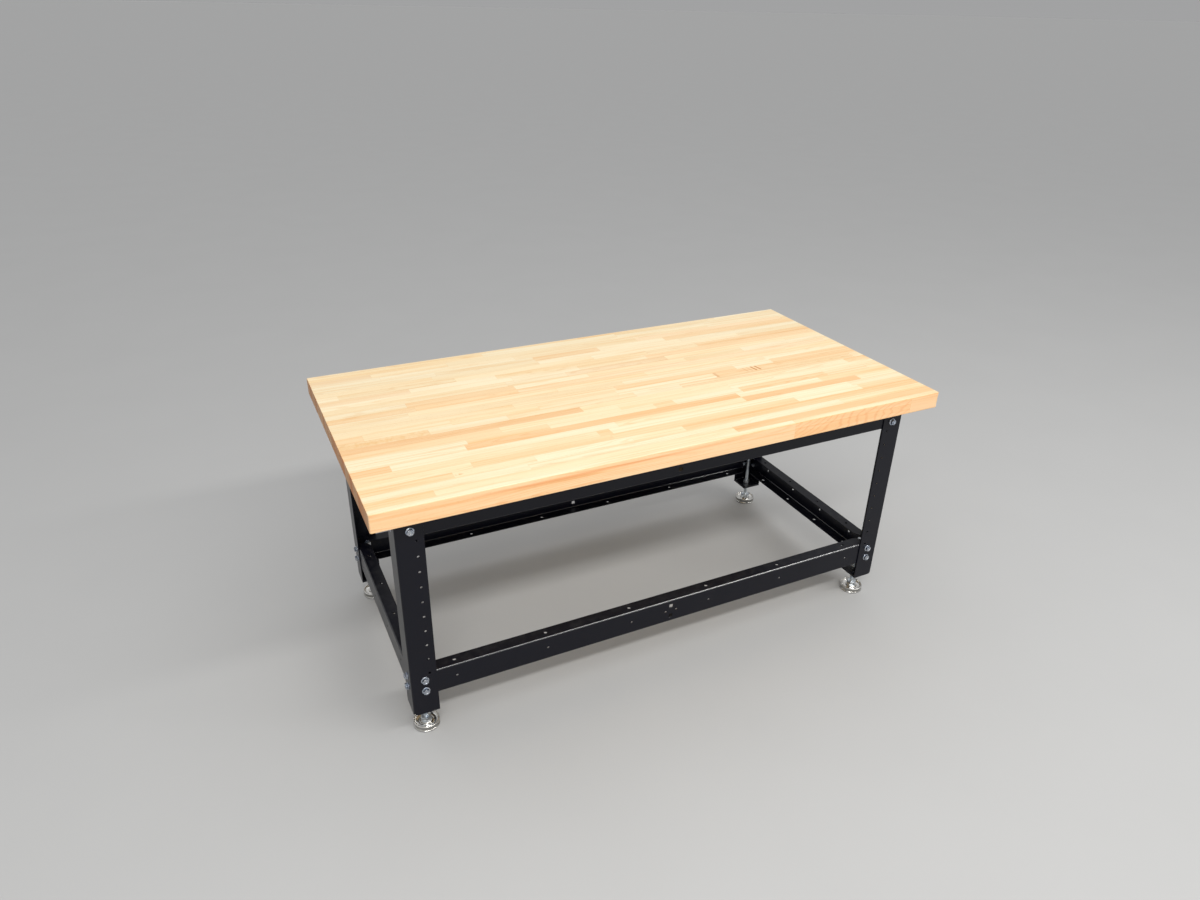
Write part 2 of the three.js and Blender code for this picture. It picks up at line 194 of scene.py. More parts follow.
def cut(piece, tools, operation="DIFFERENCE"):
    """Cuts a piece with tools, which are used up."""
    tool = joined("tool", tools)
    modify(piece, "BOOLEAN", object=tool, operation=operation, solver="MANIFOLD")
    discard(tool)


def face_outwards(piece):
    """Merges doubled points and turns every face outwards."""
    open_mesh(piece)
    pick_all()
    bpy.ops.mesh.remove_doubles(threshold=TOUCHING)
    bpy.ops.mesh.normals_make_consistent(inside=False)
    close_mesh()


def ease(piece, width, angle=SHARP):
    """Rounds edges sharper than an angle by millimetres, as handling, plating or paint does."""
    modify(piece, "BEVEL", width=width * MM, segments=2, limit_method="ANGLE",
           angle_limit=math.radians(angle), use_clamp_overlap=False)


def smooth(piece):
    """Shades curves smooth and keeps flat faces flat."""
    select_only(piece)
    bpy.ops.object.shade_smooth_by_angle(angle=math.radians(SHARP))
    modify(piece, "WEIGHTED_NORMAL", keep_sharp=True)


print("edges past", SHARP, "degrees count as sharp")

# %% Copy and hand over
bodies = frame["record"]["behaviour"]["bodies"]
BODY_OF = {node: body for body, nodes in bodies.items() for node in nodes}


def copied(piece, name, place):
    """A copy of a piece with its own mesh, moved or mirrored by a matrix."""
    select_only(piece)
    bpy.ops.object.duplicate()
    copy = bpy.context.object
    copy.name = name
    copy.data.name = name
    copy.matrix_world = place
    bpy.ops.object.transform_apply(location=True, rotation=True, scale=True)
    if place.determinant() < 0:
        face_outwards(copy)
    return copy


def stands_for(piece, node):
    """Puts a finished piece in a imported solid's stead."""
    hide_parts(node)
    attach(piece, BODY_OF[node])


def fitted(pattern, name, place, node):
    """A smooth copy of a piece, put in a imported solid's stead."""
    piece = copied(pattern, name, place)
    smooth(piece)
    stands_for(piece, node)
    return piece


# %% [markdown]
# Legs: sheet steel folded once
#
# A leg starts as a flat strip of steel that a press brake folds into an angle. Modelling it the
# same way keeps the wall even: one face is the first flange, its edge is pulled out for the second,
# the corner is beveled to the bend's outside radius, and Solidify gives the gauge. A slanted bisect
# takes the little corner off the bottom of the bend, where the real blank is notched so that the
# fold doesn't tear.

# %% Fold the angle
LEG_X, LEG_Y = 704.85, 323.85
LEG_FLANGE = 63.5
LEG_BOTTOM, LEG_TOP = 66.0, 636.4
LEG_BEND = 5.3
LEG_NOTCH = 8.0
GAUGE = 2.66


def thicken(folded):
    """Gives a folded sheet its gauge, inwards from its front."""
    front = max(folded.data.polygons, key=lambda face: abs(face.normal.y) * face.area)
    modify(folded, "SOLIDIFY", thickness=GAUGE * MM, offset=math.copysign(1, front.normal.y),
           use_even_offset=True)
    face_outwards(folded)


leg = sheet("leg", (-LEG_X + LEG_FLANGE / 2, -LEG_Y, (LEG_BOTTOM + LEG_TOP) / 2),
            LEG_FLANGE, LEG_TOP - LEG_BOTTOM)
open_mesh(leg)
pick("edges", lambda edge: on_plane(edge, X, -LEG_X))
bpy.ops.mesh.extrude_region_move(TRANSFORM_OT_translate={"value": mm(0, LEG_FLANGE, 0)})
pick("edges", lambda edge: on_plane(edge, X, -LEG_X) and on_plane(edge, Y, -LEG_Y))
bpy.ops.mesh.bevel(offset=LEG_BEND * MM, segments=8)
pick_all()
bpy.ops.mesh.bisect(
    plane_co=mm(-LEG_X + LEG_NOTCH, -LEG_Y, LEG_BOTTOM), plane_no=(1, 1, 1), clear_inner=True,
)
close_mesh()
thicken(leg)
print("angle folded, faces:", len(leg.data.polygons))

# %% [markdown]
# The foot plate and its welds
#
# A square plate is welded between the flanges at the bottom, with one corner cut to clear the bend
# and a tapped hole for the foot. A boolean union makes plate and angle one skin, as the paint does.
# The weld beads are short ridged rods laid in the corner: rings of a cylinder are scaled up and
# down in turn to give the ripple of a weld pool.

# %% Weld in the plate
PLATE = 6.35
PLATE_NEAR = 1.36
PLATE_CORNER = 10.3
FOOT_INSET = 35.0
STEM_BORE = 12.9
PLATE_SHY = 0.4

plate_span = LEG_FLANGE - PLATE_SHY - PLATE_NEAR
plate_middle = PLATE_NEAR + plate_span / 2
plate = block(
    "plate", (-LEG_X + plate_middle, -LEG_Y + plate_middle, LEG_BOTTOM + (PLATE + PLATE_SHY) / 2),
    (plate_span, plate_span, PLATE - PLATE_SHY),
)
open_mesh(plate)
pick("edges", lambda edge: on_plane(edge, X, -LEG_X + PLATE_NEAR)
     and on_plane(edge, Y, -LEG_Y + PLATE_NEAR))
bpy.ops.mesh.bevel(offset=(PLATE_CORNER - PLATE_NEAR) * MM, segments=1)
cut(leg, [plate], "UNION")
print("plate joined, faces:", len(leg.data.polygons))

# %% Lay the weld beads
BEAD_WIDTH = 5.2
BEAD_LENGTH = 17.0
BEAD_RINGS = 11
BEAD_END, BEAD_SWELL, BEAD_PINCH = 0.5, 1.08, 0.93
BEAD_LIFT = 0.3
BEAD_PLACES = (24.0, 50.0)


def weld_bead(place, axis):
    """A rippled bead that lies along an axis."""
    bead = rod("bead", place, BEAD_WIDTH, axis, BEAD_LENGTH, 12)
    along = "xyz".index(axis)
    middle = place[along] * MM
    levels = [middle + BEAD_LENGTH * MM * (i / BEAD_RINGS - 0.5) for i in range(BEAD_RINGS + 1)]
    open_mesh(bead)
    for level in levels[1:-1]:
        cut_at = list(mm(*place))
        cut_at[along] = level
        pick_all()
        bpy.ops.mesh.bisect(plane_co=cut_at, plane_no=[float(i == along) for i in range(3)])
    for ring, level in enumerate(levels):
        pick("verts", lambda vert: abs(vert.co[along] - level) < 10 * TOUCHING)
        size = BEAD_SWELL if ring % 2 else BEAD_PINCH
        if ring in (0, BEAD_RINGS):
            size = BEAD_END
        bpy.ops.transform.resize(value=(size, size, size), center_override=mm(*place))
    close_mesh()
    return bead


bead_z = LEG_BOTTOM + PLATE + BEAD_LIFT
bead_off = GAUGE + BEAD_LIFT
beads = []
for reach in BEAD_PLACES:
    beads.append(weld_bead((-LEG_X + reach, -LEG_Y + bead_off, bead_z), "x"))
    beads.append(weld_bead((-LEG_X + bead_off, -LEG_Y + reach, bead_z), "y"))
print("weld beads:", len(beads))

# %% [markdown]
# Holes in the legs
#
# The flange on the long side has a row of small holes for tool holders, and both flanges have two
# bolt holes at each rail. Every hole is a drill: a cylinder laid through the sheet. All the drills
# are joined and taken away in one boolean. A fine bevel then gives the soft, paint-filled edge that
# catches the light.

# %% Drill the leg
BOLT_INSET = 34.0
BOLT_HOLE = 10.9
BOLT_OFFSET = 15.875
RAIL_HEIGHT = 69.85
LEVELS = {"lower": 117.0, "upper": LEG_TOP - RAIL_HEIGHT}
ROW_INSET = 46.7
ROW_FIRST, ROW_PITCH, ROW_COUNT = 186.6, 41.275, 10
ROW_HOLE = 6.0
DRILL_REACH = 12.0
LEG_EASE = 0.35


def drill(place, diameter, axis, reach=DRILL_REACH, sides=32):
    """A drill through a place, along an axis."""
    return rod("drill", place, diameter, axis, reach, sides)


drills = [drill((-LEG_X + FOOT_INSET, -LEG_Y + FOOT_INSET, LEG_BOTTOM), STEM_BORE, "z", 4 * PLATE)]
for bottom in LEVELS.values():
    for offset in (-BOLT_OFFSET, BOLT_OFFSET):
        height = bottom + RAIL_HEIGHT / 2 + offset
        drills.append(drill((-LEG_X + BOLT_INSET, -LEG_Y, height), BOLT_HOLE, "y"))
        drills.append(drill((-LEG_X, -LEG_Y + BOLT_INSET, height), BOLT_HOLE, "x"))
for i in range(ROW_COUNT):
    place = (-LEG_X + ROW_INSET, -LEG_Y, ROW_FIRST + ROW_PITCH * i)
    drills.append(drill(place, ROW_HOLE, "y", sides=24))
cut(leg, drills)
ease(leg, LEG_EASE)
leg = joined("leg", [leg, *beads])
print("leg drilled, faces:", len(leg.data.polygons))

# %% Copy the leg to the four corners
MIRROR_X = Matrix.Diagonal((-1, 1, 1, 1))
MIRROR_Y = Matrix.Diagonal((1, -1, 1, 1))
CORNERS = {
    "front_left": Matrix.Identity(4),
    "front_right": MIRROR_X,
    "rear_right": MIRROR_X @ MIRROR_Y,
    "rear_left": MIRROR_Y,
}
coated = []
for corner, place in CORNERS.items():
    one = fitted(leg, f"angle_leg_{corner}", place, f"leg_{corner}")
    coated.append(one)
discard(leg)
print("legs:", len(coated))

# %% [markdown]
# Rails: channels folded twice
#
# A rail is the same sheet folded along both edges. One face is the web, its two long edges are
# pulled back for the flanges, and both folds are beveled. The ends of the flanges are cut back with
# a large round, so that the rail can be slid between the legs: that tool is a block with a cylinder
# and a strip taken out of it.

# %% Fold a channel and cut its ends
RAIL_DEPTH = 34.9
RAIL_BEND = 4.2
FLANGE_SETBACK = 22.0
FLANGE_ROUND = 30.0
RAIL_SHY = 14.86
LONG_LENGTH, SHORT_LENGTH = 2 * (LEG_X - RAIL_SHY), 2 * (LEG_Y - RAIL_SHY)
SPARE = 6.0


def folded_channel(length):
    """A channel along X that stands on z = 0, its web's outer face at y = 0."""
    channel = sheet("channel", (0, 0, RAIL_HEIGHT / 2), length, RAIL_HEIGHT)
    open_mesh(channel)
    for height in (0, RAIL_HEIGHT):
        pick("edges", lambda edge: on_plane(edge, Z, height) and on_plane(edge, Y, 0))
        bpy.ops.mesh.extrude_region_move(TRANSFORM_OT_translate={"value": mm(0, RAIL_DEPTH, 0)})
    for height in (0, RAIL_HEIGHT):
        pick("edges", lambda edge: on_plane(edge, Z, height) and on_plane(edge, Y, 0))
        bpy.ops.mesh.bevel(offset=RAIL_BEND * MM, segments=7)
    close_mesh()
    thicken(channel)
    return channel


def flange_end_tool(length, end):
    """What both flanges lose at one end (-1 or 1)."""
    stop = length / 2 - FLANGE_SETBACK
    span = FLANGE_ROUND + FLANGE_SETBACK + SPARE
    depth = RAIL_DEPTH + SPARE - GAUGE
    middle = RAIL_HEIGHT / 2
    through = RAIL_HEIGHT + 4 * SPARE
    tool = block("end", (end * (stop - FLANGE_ROUND + span / 2), GAUGE + depth / 2, middle),
                 (span, depth, RAIL_HEIGHT + 2 * SPARE))
    strip_depth = RAIL_DEPTH - FLANGE_ROUND
    corner = drill((end * (stop - FLANGE_ROUND), strip_depth, middle),
                   2 * FLANGE_ROUND, "z", through, sides=96)
    cut(tool, [corner])
    strip = block("strip", (end * (stop - FLANGE_ROUND / 2 - SPARE / 2), strip_depth / 2, middle),
                  (FLANGE_ROUND + SPARE, strip_depth, through))
    cut(tool, [strip])
    return tool


print("rail lengths:", LONG_LENGTH, SHORT_LENGTH)

# %% [markdown]
# Holes in the rails
#
# Both flanges carry a row of holes for screws into the top or a shelf, with a smaller hole in the
# web at each place. The long rails also have two square holes with round pilots in the middle, for
# a cross rail that isn't fitted here. The square punch is a cube, the rest are drills.

# %% Punch the long and short rail
FLANGE_HOLE = 8.7
FLANGE_HOLE_DEPTH = 19.0
FIRST_HOLE = 98.0
WEB_HOLE = 6.4
SQUARE_HOLE = 11.0
PILOT_OFFSET = 16.25
RAIL_EASE = 0.2


def hole_places(length, count):
    """Where a rail's holes are along it."""
    span = length - 2 * FIRST_HOLE
    return [span * (i / (count - 1) - 0.5) for i in range(count)]


def punched_rail(name, length, holes, bolt_reach, square_holes):
    """A finished rail with its web's outer face at y = 0."""
    rail = folded_channel(length)
    cut(rail, [flange_end_tool(length, end) for end in (-1, 1)])
    middle = RAIL_HEIGHT / 2
    through = RAIL_HEIGHT + DRILL_REACH
    tools = []
    for place in holes:
        tools.append(drill((place, FLANGE_HOLE_DEPTH, middle), FLANGE_HOLE, "z", through))
        tools.append(drill((place, 0, middle), WEB_HOLE, "y", sides=24))
    for level in (middle - BOLT_OFFSET, middle + BOLT_OFFSET):
        for end in (-1, 1):
            tools.append(drill((end * bolt_reach, 0, level), BOLT_HOLE, "y"))
        if square_holes:
            tools.append(block("punch", (0, 0, level), (SQUARE_HOLE, DRILL_REACH, SQUARE_HOLE)))
    if square_holes:
        for side in (-1, 1):
            tools.append(drill((side * PILOT_OFFSET, 0, middle), WEB_HOLE, "y", sides=24))
    cut(rail, tools)
    ease(rail, RAIL_EASE)
    print(name, "faces:", len(rail.data.polygons))
    return rail


LONG_HOLES = hole_places(LONG_LENGTH, 6)
SHORT_HOLES = hole_places(SHORT_LENGTH, 4)
long_rail = punched_rail("long_rail", LONG_LENGTH, LONG_HOLES, LEG_X - BOLT_INSET, True)
short_rail = punched_rail("short_rail", SHORT_LENGTH, SHORT_HOLES, LEG_Y - BOLT_INSET, False)

# %% Copy the rails to both levels of the four sides
PAINT_GAP = 0.15
WEB_OFFSET = GAUGE + PAINT_GAP
SIDES = {
    "front": (long_rail, LONG_HOLES, LEG_Y, 0),
    "right": (short_rail, SHORT_HOLES, LEG_X, math.pi / 2),
    "rear": (long_rail, LONG_HOLES, LEG_Y, math.pi),
    "left": (short_rail, SHORT_HOLES, LEG_X, -math.pi / 2),
}
for side, (pattern, _, reach, turn) in SIDES.items():
    around = Matrix.Rotation(turn, 4, "Z")
    for level, bottom in LEVELS.items():
        place = around @ Matrix.Translation(mm(0, WEB_OFFSET - reach, bottom))
        name = f"channel_{level}_{side}"
        one = fitted(pattern, name, place, f"{level}_rail_{side}")
        coated.append(one)
discard(long_rail, short_rail)
print("coated steel pieces:", len(coated))

# %% [markdown]
# Turned and hexagonal parts
#
# Bolts, nuts, studs and pads are all round about an axis. A turner thinks of them as half an
# outline, and so does the spin tool: one point is pulled along the outline step by step, and the
# line is spun once round. A spanner hexagon is a six-sided bar that keeps only what lies inside a
# turned blank, which gives the curved chamfer that every real nut has on its corners.

# %% Spin an outline, cut a hexagon, wind a thread
CROWN_SHARE, CROWN_SLOPE, CROWN_SPARE = 0.95, 0.6, 1.02
RIDGE_BASE, RIDGE_CREST = 0.86, 0.22
RIDGE_BITE = 0.1
BAR_SPARE = 2


def turned(name, outline, steps):
    """A closed round piece on the Z axis from (radius, height) pairs in millimetres."""
    piece = start(name, bpy.ops.mesh.primitive_plane_add, size=MM,
                  location=mm(outline[0][0], 0, outline[0][1]))
    open_mesh(piece)
    pick("verts", lambda vert: True)
    bpy.ops.mesh.merge(type="CENTER")
    for before, after in zip(outline, outline[1:]):
        step = mm(after[0] - before[0], 0, after[1] - before[1])
        bpy.ops.mesh.extrude_region_move(TRANSFORM_OT_translate={"value": step})
    pick_all()
    bpy.ops.mesh.spin(steps=steps, angle=2 * math.pi, center=(0, 0, 0), axis=(0, 0, 1))
    face_outwards(piece)
    return piece


def hexagon(name, across_flats, bottom, top, crown_low=True):
    """A spanner hexagon on the Z axis with turned crowns."""
    flat = across_flats / 2
    corner = flat / math.cos(math.pi / 6)
    shoulder = flat * CROWN_SHARE
    crown = (corner - shoulder) * CROWN_SLOPE
    wide = corner * CROWN_SPARE
    bar = rod(name, (0, 0, (top + bottom) / 2), 2 * corner, "z", top - bottom + BAR_SPARE, 6)
    low = [(shoulder, bottom), (wide, bottom + crown)] if crown_low else [(wide, bottom)]
    blank = [(0, bottom), *low, (wide, top - crown), (shoulder, top), (0, top)]
    cut(bar, [turned("blank", blank, 72)], "INTERSECT")
    return bar


def thread(crest, valley, pitch, bottom, top, steps):
    """A single ridge wound round the Z axis."""
    root = valley - RIDGE_BITE
    ridge = sheet("ridge", ((crest + root) / 2, 0, bottom), crest - root, pitch * RIDGE_BASE)
    open_mesh(ridge)
    pick("edges", lambda edge: on_plane(edge, X, crest))
    bpy.ops.transform.resize(value=(1, 1, RIDGE_CREST), center_override=mm(crest, 0, bottom))
    bpy.ops.mesh.select_mode(type="FACE")
    pick_all()
    bpy.ops.mesh.delete(type="ONLY_FACE")
    close_mesh()
    turns = int((top - bottom) / pitch)
    modify(ridge, "SCREW", axis="Z", angle=2 * math.pi, screw_offset=pitch * MM,
           iterations=turns, steps=steps, render_steps=steps, use_merge_vertices=False)
    open_mesh(ridge)
    pick_all()
    bpy.ops.mesh.remove_doubles(threshold=TOUCHING / 10)
    bpy.ops.mesh.select_all(action="DESELECT")
    bpy.ops.mesh.select_mode(type="EDGE")
    bpy.ops.mesh.select_non_manifold()
    bpy.ops.mesh.fill_holes(sides=0)
    face_outwards(ridge)
    return ridge


print("turning tools ready")

# %% [markdown]
# Flange bolts
#
# Two bolts hold each end of each rail, 32 in all. The head is a hexagon with a dished top on a
# built-in washer, the nut sits inside the channel, and a little thread shows past it. One bolt is
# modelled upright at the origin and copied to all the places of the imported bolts, each turned to a
# chance angle, because nobody lines up bolts.

# %% Model one bolt
BOLT_HEX = 14.3
BOLT_HEAD = 7.5
BOLT_GRIP = 2 * GAUGE + 3 * PAINT_GAP
BOLT_NUT = 8.4
BOLT_TAIL = 4.0
BOLT_RADIUS = 9.525 / 2
BOLT_PITCH = 25.4 / 16
BOLT_THREAD = 0.9
BOLT_EASE = 0.2
HEAD_BOTTOM = 1.2

nut_top = -BOLT_GRIP
nut_bottom = nut_top - BOLT_NUT
tail = nut_bottom - BOLT_TAIL
valley = BOLT_RADIUS - BOLT_THREAD
dish_outline = [(0, 6.2), (3.4, 6.2), (5.2, BOLT_HEAD + 0.4), (0, BOLT_HEAD + 0.4)]
washer_outline = [(0, 0), (10, 0), (10, 0.8), (9.5, 1.4), (7.4, 2.3), (0, 2.3)]
shank_outline = [
    (0, tail), (valley - 0.5, tail), (valley, tail + 0.6), (valley, nut_bottom + 1),
    (BOLT_RADIUS, nut_bottom + 1), (BOLT_RADIUS, 0.5), (0, 0.5),
]
head = hexagon("head", BOLT_HEX, HEAD_BOTTOM, BOLT_HEAD, crown_low=False)
cut(head, [turned("dish", dish_outline, 48)])
washer = turned("washer", washer_outline, 64)
nut = hexagon("nut", BOLT_HEX, nut_bottom, nut_top)
for part in (head, washer, nut):
    ease(part, BOLT_EASE)
shank = turned("shank", shank_outline, 24)
ridge = thread(BOLT_RADIUS, valley, BOLT_PITCH, tail + 1.0, nut_bottom + 2.5, 16)
bolt = joined("bolt", [head, washer, nut, shank, ridge])
print("bolt faces:", len(bolt.data.polygons))

# %% Fit the bolts
chance = random.Random(32)
plated = []
bolt_nodes = sorted(node for node in BODY_OF if node.startswith("bolt_"))
for side, (_, _, reach, turn) in SIDES.items():
    outwards = Matrix.Rotation(turn, 3, "Z") @ Vector((0, -1, 0))
    laid = Matrix.Rotation(turn, 4, "Z") @ Matrix.Rotation(math.pi / 2, 4, "X")
    for node in (name for name in bolt_nodes if name.split("_")[2] == side):
        low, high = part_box(node)
        middle = (low + high) / 2
        seat = middle + outwards * ((reach + PAINT_GAP) * MM - middle.dot(outwards))
        spin = Matrix.Rotation(chance.uniform(0, math.pi / 3), 4, "Z")
        place = Matrix.Translation(seat) @ laid @ spin
        plated.append(fitted(bolt, "flange_" + node, place, node))
discard(bolt)
print("bolts fitted:", len(plated))

# %% [markdown]
# Levelling feet
#
# Each foot is a stud with a spanner hexagon that turns in a dished pad, and a jam nut that locks it
# on the leg's plate. The pad, the stud and the nut stay separate because they move differently: the
# nut stays with the leg, the pad goes up and down, and the stud also turns. The thread is half an
# inch, 13 turns to the inch.

# %% Model the jam nut and the stud
FOOT_X, FOOT_Y = LEG_X - FOOT_INSET, LEG_Y - FOOT_INSET
JAM_HEX = 19.05
JAM_HEIGHT = 11.1
JAM_BOTTOM = LEG_BOTTOM + PLATE + PAINT_GAP
JAM_TOP = JAM_BOTTOM + JAM_HEIGHT
STUD_RADIUS = 6.35
STUD_PITCH = 25.4 / 13
STUD_HEX = 24.0
HEX_BOTTOM, HEX_TOP = 14.1, 27.1
STUD_TIP = 182.1
STUD_THREAD = 1.15
SPIGOT_BOTTOM = 6.1
NUT_EASE, COLLAR_EASE = 0.3, 0.4

jam_nut = hexagon("jam_nut", JAM_HEX, JAM_BOTTOM, JAM_TOP)
bore = STEM_BORE / 2
tap_outline = [
    (0, JAM_BOTTOM - 1), (bore + 1.4, JAM_BOTTOM - 1), (bore, JAM_BOTTOM + 0.6),
    (bore, JAM_TOP - 0.6), (bore + 1.4, JAM_TOP + 1), (0, JAM_TOP + 1),
]
cut(jam_nut, [turned("tap", tap_outline, 48)])
ease(jam_nut, NUT_EASE)

valley = STUD_RADIUS - STUD_THREAD
core_outline = [
    (0, SPIGOT_BOTTOM), (7.4, SPIGOT_BOTTOM), (7.9, SPIGOT_BOTTOM + 0.5), (7.9, HEX_BOTTOM + 1),
    (7.9, HEX_TOP - 1), (6.2, HEX_TOP - 1), (6.2, HEX_TOP + 2.2), (valley, HEX_TOP + 3.2),
    (valley, STUD_TIP - 0.6), (valley - 0.5, STUD_TIP), (0, STUD_TIP),
]
collar = hexagon("collar", STUD_HEX, HEX_BOTTOM, HEX_TOP)
ease(collar, COLLAR_EASE)
core = turned("core", core_outline, 32)
ridge = thread(STUD_RADIUS, valley, STUD_PITCH, HEX_TOP + 3.4, STUD_TIP - 0.6, 20)
stud = joined("stud", [collar, core, ridge])
print("stud faces:", len(stud.data.polygons))

# %% [markdown]
# The pad is pressed from sheet steel and plated bright: a lower flange, a waist, a rolled rim, a
# dish, and a hub round the socket. It is spun from one outline, and a fine bevel takes the
# sharpness off its corners.

# %% Model the pad and set the feet
PAD_EASE, PAD_SHARP = 0.2, 30
pad_outline = [
    (0, 0.0), (30.6, 0.0), (32.2, 0.7), (32.9, 1.9), (32.9, 3.4), (32.0, 4.5), (30.3, 4.9),
    (30.3, 5.8), (31.6, 6.5), (32.2, 8.0), (32.2, 14.7), (31.9, 15.7), (31.2, 16.3), (30.4, 16.5),
    (29.6, 16.3), (29.0, 15.6), (28.7, 14.6), (28.2, 12.9), (27.0, 11.3), (24.8, 10.0), (21.8, 9.3),
    (18.6, 9.1), (16.6, 9.6), (15.4, 11.0), (14.9, 14.0), (8.25, 14.0), (8.25, 6.0), (0, 6.0),
]
pad = turned("pad", pad_outline, 96)
ease(pad, PAD_EASE, PAD_SHARP)
bright = []
studs = []
for corner, mirror in CORNERS.items():
    place = Matrix.Translation(mirror @ Vector(mm(-FOOT_X, -FOOT_Y, 0)))
    studs.append(fitted(jam_nut, f"hex_jam_nut_{corner}", place, f"jam_nut_{corner}"))
    studs.append(fitted(stud, f"threaded_stud_{corner}", place, f"stem_{corner}"))
    bright.append(fitted(pad, f"dished_pad_{corner}", place, f"pad_{corner}"))
discard(jam_nut, stud, pad)
print("feet set:", len(bright))

# %% [markdown]
# Screws into the top
#
# Under the table, a pan-head screw goes up through each hole of the upper rails' top flanges into
# the wood. They are out of sight from above, but anyone who turns the model over will look for
# them. One is turned, its cross slot is cut with two small bars, and it is copied to twenty holes.

# %% Model and fit the wood screws
SCREW_FACE = LEG_TOP - GAUGE
SCREW_EASE = 0.15
SLOT = (6.0, 1.1, 3.2)
HEAD_LOW = -3.4
screw_outline = [
    (0, HEAD_LOW), (3.2, HEAD_LOW + 0.1), (5.2, HEAD_LOW + 0.9), (6.2, -1.2), (6.2, -0.1),
    (2.4, -0.1), (2.2, 12.0), (0, 14.0),
]
screw = turned("screw", screw_outline, 32)
for turn in (0, math.pi / 2):
    cut(screw, [block("slot", (0, 0, HEAD_LOW), SLOT, rotation=(0, 0, turn))])
ease(screw, SCREW_EASE)
screws = []
for side, (_, holes, reach, turn) in SIDES.items():
    around = Matrix.Rotation(turn, 4, "Z")
    inwards = WEB_OFFSET - reach + FLANGE_HOLE_DEPTH
    for i, along in enumerate(holes):
        spin = Matrix.Rotation(chance.uniform(0, math.pi), 4, "Z")
        place = around @ Matrix.Translation(mm(along, inwards, SCREW_FACE)) @ spin
        one = copied(screw, f"wood_screw_{side}_{i + 1}", place)
        smooth(one)
        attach(one, "frame")
        screws.append(one)
discard(screw)
print("wood screws:", len(screws))

# %% [markdown]
# The work top
#
# The top is a slab of maple strips glued edge to edge, each strip made of boards butted end to end.
# A cube at the slab's size gets its corners and edges beveled, and bisects then score it into
# strips and boards. The scoring changes no shape, but it gives every board its own faces, so that
# each can carry its own colour, grain offset and growth-ring centre as face attributes.

# %% Shape the slab
TOP_LENGTH, TOP_DEPTH, TOP_THICKNESS = 1524.0, 762.0, 44.45
TOP_HEIGHT = 681.0
TOP_MIDDLE = TOP_HEIGHT - TOP_THICKNESS / 2
CORNER_ROUND, EDGE_ROUND = 4.0, 1.8
STRIP = 28.1
FIRST_SEAM = -363.5

top = block("maple_top", (0, 0, TOP_MIDDLE), (TOP_LENGTH, TOP_DEPTH, TOP_THICKNESS))
open_mesh(top)
pick("edges", lambda edge: abs(edge.verts[0].co.z - edge.verts[1].co.z) > TOUCHING)
bpy.ops.mesh.bevel(offset=CORNER_ROUND * MM, segments=5)
faces_z = (TOP_HEIGHT, TOP_HEIGHT - TOP_THICKNESS)
pick("edges", lambda edge: any(on_plane(edge, Z, height) for height in faces_z))
bpy.ops.mesh.bevel(offset=EDGE_ROUND * MM, segments=3)
close_mesh()
print("slab faces:", len(top.data.polygons))

# %% [markdown]
# Which boards go where
#
# Some boards stand out on the real top by their tone or figure, and these are listed one by one: the
# strip counted from the front edge, where the board starts and ends along the length, and a word
# for its tone. A seeded generator fills every other place with pale boards of ordinary lengths.

# %% Lay out the boards
NOTABLE = {
    0: [(-762, 287, "cream"), (287, 665, "flamed"), (665, 762, "cream")],
    1: [(-762, -617, "peach"), (-617, 128, "honey"), (128, 762, "amber")],
    2: [(-395, 170, "cream")],
    3: [(18, 762, "peach")],
    4: [(-162, 376, "peach")],
    5: [(-762, -185, "honey"), (-152, 578, "cream")],
    6: [(-762, -675, "amber"), (-122, 251, "honey"), (251, 630, "amber"), (630, 762, "cream")],
    7: [(-495, 251, "amber")],
    8: [(16, 73, "peach"), (563, 708, "streaky")],
    9: [(-762, -392, "peach"), (408, 762, "cream")],
    10: [(-762, -165, "amber"), (-165, 398, "honey"), (681, 762, "peach")],
    11: [(-762, -550, "curly"), (143, 728, "streaky")],
    12: [(-762, -699, "peach"), (268, 421, "mineral")],
    13: [(478, 762, "peach")],
    14: [(-762, 8, "honey")],
    16: [(-762, -546, "peach"), (-272, 738, "rose")],
    17: [(-562, -271, "peach")],
    18: [(-107, 208, "rose")],
    19: [(158, 738, "rose")],
    20: [(-762, -531, "rose"), (-292, 175, "honey")],
    21: [(-709, -400, "honey")],
    22: [(321, 448, "cream")],
    24: [(198, 738, "rose")],
    25: [(-762, -602, "rose")],
    26: [(-762, -275, "honey")],
}
PLAIN_TONES = ["cream"] * 5 + ["honey"] * 4 + ["peach"]
PLAIN_LENGTHS = (170, 520)
SHORTEST = 120
half = TOP_LENGTH / 2
growth = random.Random(7)
STRIPS = int((TOP_DEPTH / 2 - FIRST_SEAM) / STRIP) + 2


def plain_boards(left, right):
    """Pale boards of ordinary lengths that fill a space."""
    boards = []
    while right - left > 1:
        length = growth.uniform(*PLAIN_LENGTHS)
        if right - left - length < SHORTEST:
            length = right - left
        boards.append((left, left + length, growth.choice(PLAIN_TONES)))
        left += length
    return boards


layout = {}
for strip in range(STRIPS):
    row, left = [], -half
    for board in NOTABLE.get(strip, []):
        row += plain_boards(left, board[0])
        row.append(board)
        left = board[1]
    layout[strip] = row + plain_boards(left, half)
print("strips:", len(layout), "boards:", sum(len(row) for row in layout.values()))

# %% Score the slab into strips and boards
def strip_of(y):
    """The strip at a place across the top, in metres."""
    return max(0, min(STRIPS - 1, math.floor((y / MM - FIRST_SEAM) / STRIP) + 1))


open_mesh(top)
for seam in range(STRIPS - 1):
    pick_all()
    bpy.ops.mesh.bisect(plane_co=mm(0, FIRST_SEAM + STRIP * seam, 0), plane_no=(0, 1, 0))
for strip, row in layout.items():
    for board in row[1:]:
        pick("faces", lambda face: strip_of(face.calc_center_median().y) == strip)
        bpy.ops.mesh.bisect(plane_co=mm(board[0], 0, 0), plane_no=(1, 0, 0))
close_mesh()
print("scored faces:", len(top.data.polygons))

